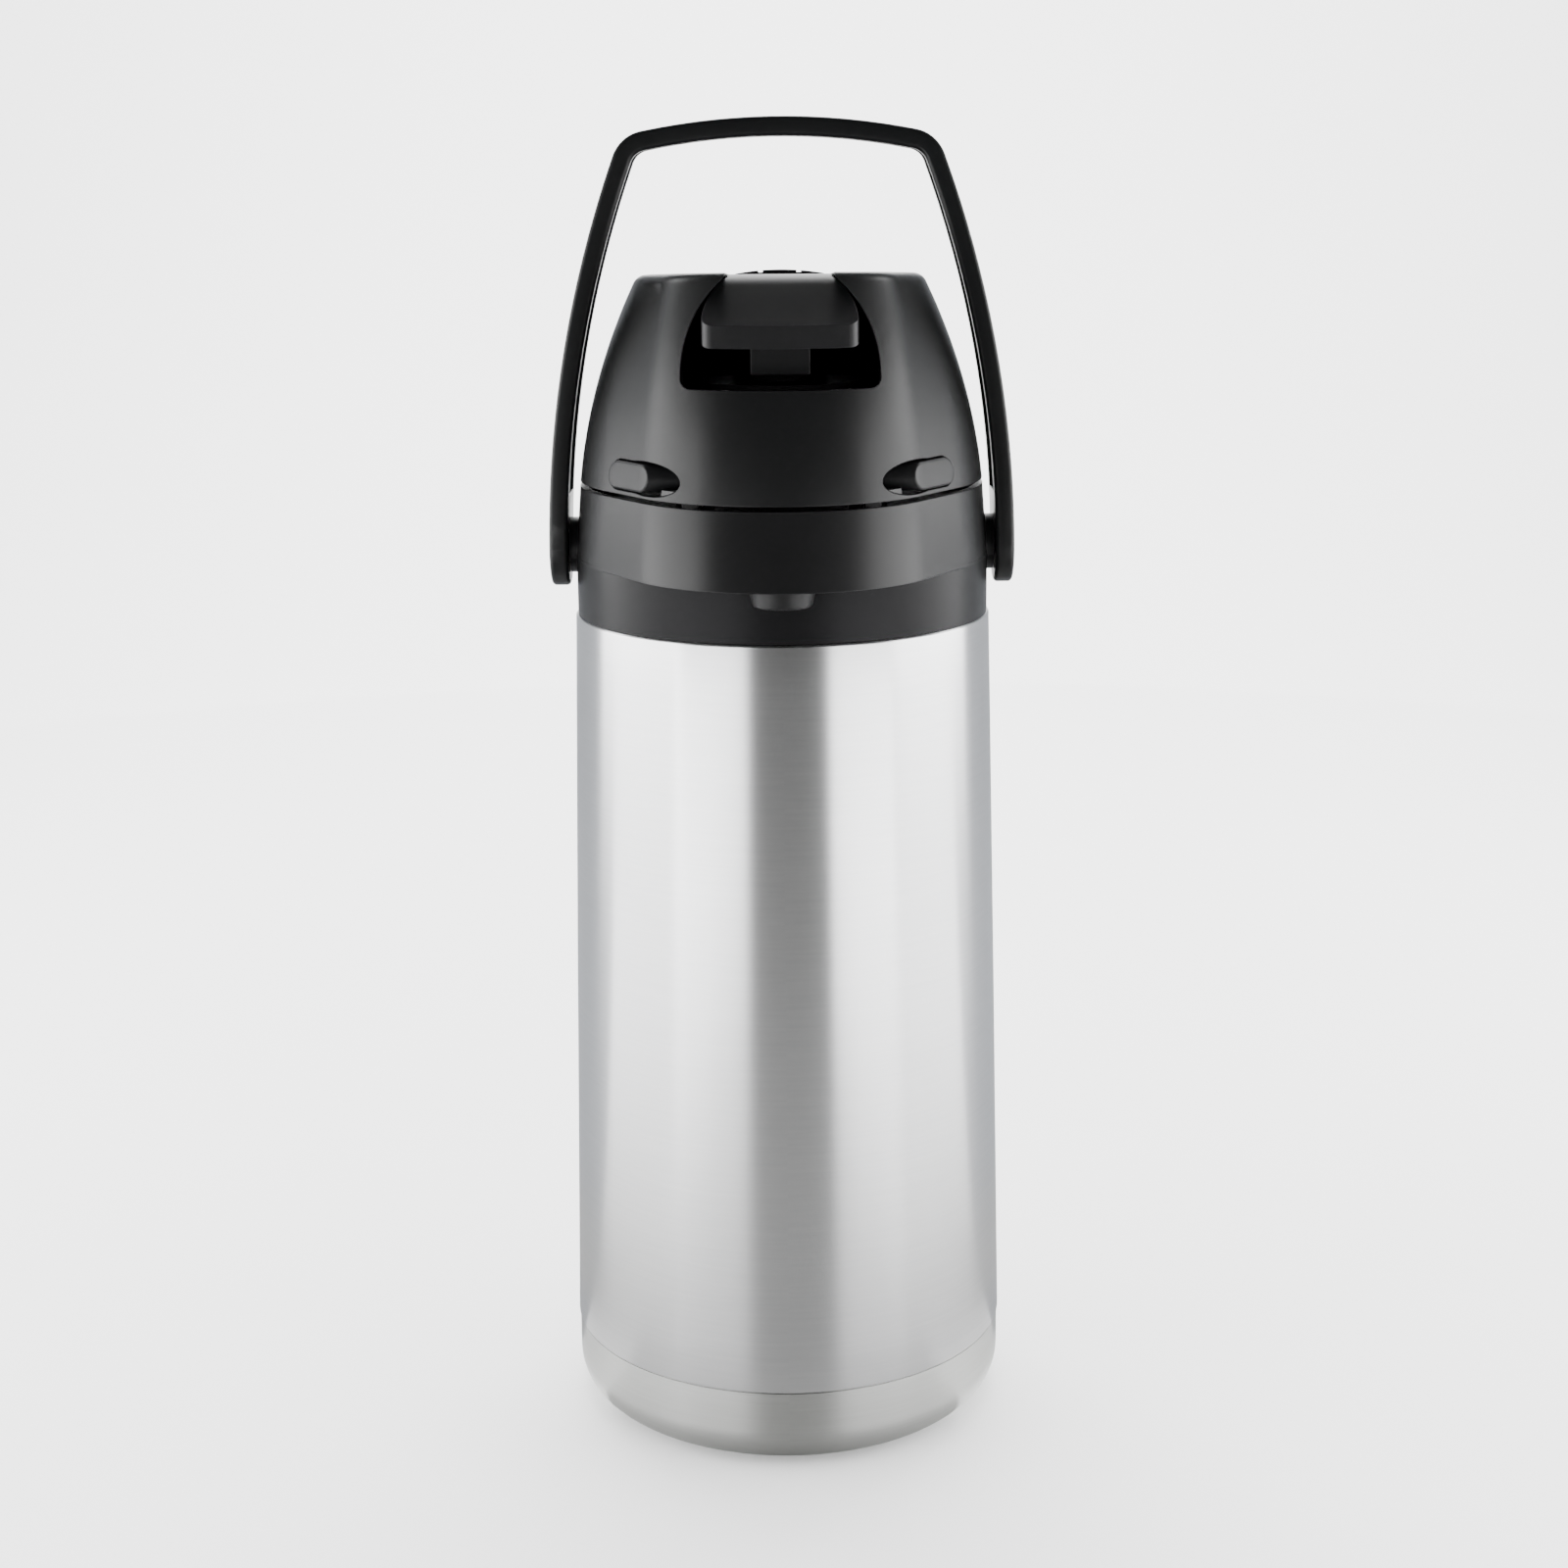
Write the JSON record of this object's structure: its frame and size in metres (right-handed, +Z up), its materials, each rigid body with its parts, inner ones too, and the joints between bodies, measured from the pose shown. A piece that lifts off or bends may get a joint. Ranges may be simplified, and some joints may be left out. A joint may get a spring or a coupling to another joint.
{
  "type": "airpot",
  "caption": "Vacuum airpot with a brushed steel body, black head with a hinged lid, press lever pump, squeeze latches, spout and swinging bail handle.",
  "frame": {"origin": "on the axis of the steel body, in the plane the foot ring stands on", "axes": "+Z up along the body, -Y towards the spout and the tip of the lever, +X to the right as seen from the front"},
  "size_m": [0.1562, 0.1637, 0.4474],
  "materials": {
    "body_steel": "brushed round the body, clear satin",
    "base_steel": "brushed, satin",
    "flask_steel": "plain drawn steel",
    "wire_steel": "bright drawn wire and pins",
    "head_plastic": "charcoal, fine satin grain",
    "grip_plastic": "black, satin",
    "inner_plastic": "dark grey, plain",
    "tube_plastic": "natural white",
    "seal_rubber": "translucent silicone grey",
    "foot_rubber": "dark, dull",
    "bellows_rubber": "dark, dull"
  },
  "bodies": {
    "vessel": {"outer_casing": "body_steel", "inner_vessel": "flask_steel", "vacuum_bottom": "flask_steel", "getter_cap": "flask_steel", "base_cup": "base_steel", "foot_ring": "foot_rubber", "neck_ring": "head_plastic", "collar": "head_plastic", "collar_screws": "wire_steel", "funnel_plate": "inner_plastic", "mouth_gasket": "seal_rubber", "mouth_insert": "inner_plastic", "dip_tube": "tube_plastic", "intake_cap": "tube_plastic", "spout_pipe": "tube_plastic", "pipe_gaskets": "seal_rubber", "nozzle": "head_plastic", "hinge_pin": "wire_steel", "handle_pins": "grip_plastic", "handle_clips": "wire_steel"},
    "lid": {"lid_shell": "head_plastic", "lid_base": "inner_plastic", "lid_screws": "wire_steel", "lid_seal": "seal_rubber", "air_valve": "seal_rubber", "bellows": "bellows_rubber", "return_spring": "wire_steel", "lever_pin": "wire_steel", "latch_spring": "wire_steel"},
    "pump": {"pump_plate": "inner_plastic"},
    "lever": {"lever": "head_plastic"},
    "lock": {"lever_lock": "head_plastic"},
    "right_latch": {"latch_right": "head_plastic"},
    "left_latch": {"latch_left": "head_plastic"},
    "bail": {"handle": "grip_plastic"}
  },
  "joints": [
    {"name": "lid_open", "type": "hinge", "parent": "vessel", "child": "lid", "pos_m": [0, 0.0705, 0.3288], "axis": [-1, 0, 0], "range_deg": [0, 100]},
    {"name": "handle_swing", "type": "hinge", "parent": "vessel", "child": "bail", "pos_m": [0, 0, 0.3072], "axis": [1, 0, 0], "range_deg": [0, 120]},
    {"name": "lever_press", "type": "hinge", "parent": "lid", "child": "lever", "pos_m": [0, 0.044, 0.387], "axis": [1, 0, 0], "range_deg": [0, 11.5], "stiffness_Nm_per_rad": 1.5, "springref_deg": -17.19},
    {"name": "pump_travel", "type": "slide", "parent": "lid", "child": "pump", "axis": [0, 0, -1], "range_m": [0, 0.0101], "deforming": ["bellows", "return_spring"]},
    {"name": "lock_slide", "type": "slide", "parent": "lever", "child": "lock", "axis": [0, -1, 0], "range_m": [-0.0035, 0]},
    {"name": "right_latch_press", "type": "slide", "parent": "lid", "child": "right_latch", "axis": [-1, 0, 0], "range_m": [0, 0.0035], "stiffness_N_per_m": 400, "springref_m": -0.004},
    {"name": "left_latch_press", "type": "slide", "parent": "lid", "child": "left_latch", "axis": [1, 0, 0], "range_m": [0, 0.0035], "stiffness_N_per_m": 400, "springref_m": -0.004}
  ],
  "couplings": [
    {"joint": "handle_swing", "follows": "lid_open", "ratio": 1.2},
    {"joint": "pump_travel", "follows": "lever_press", "m_per_rad": 0.0487}
  ]
}
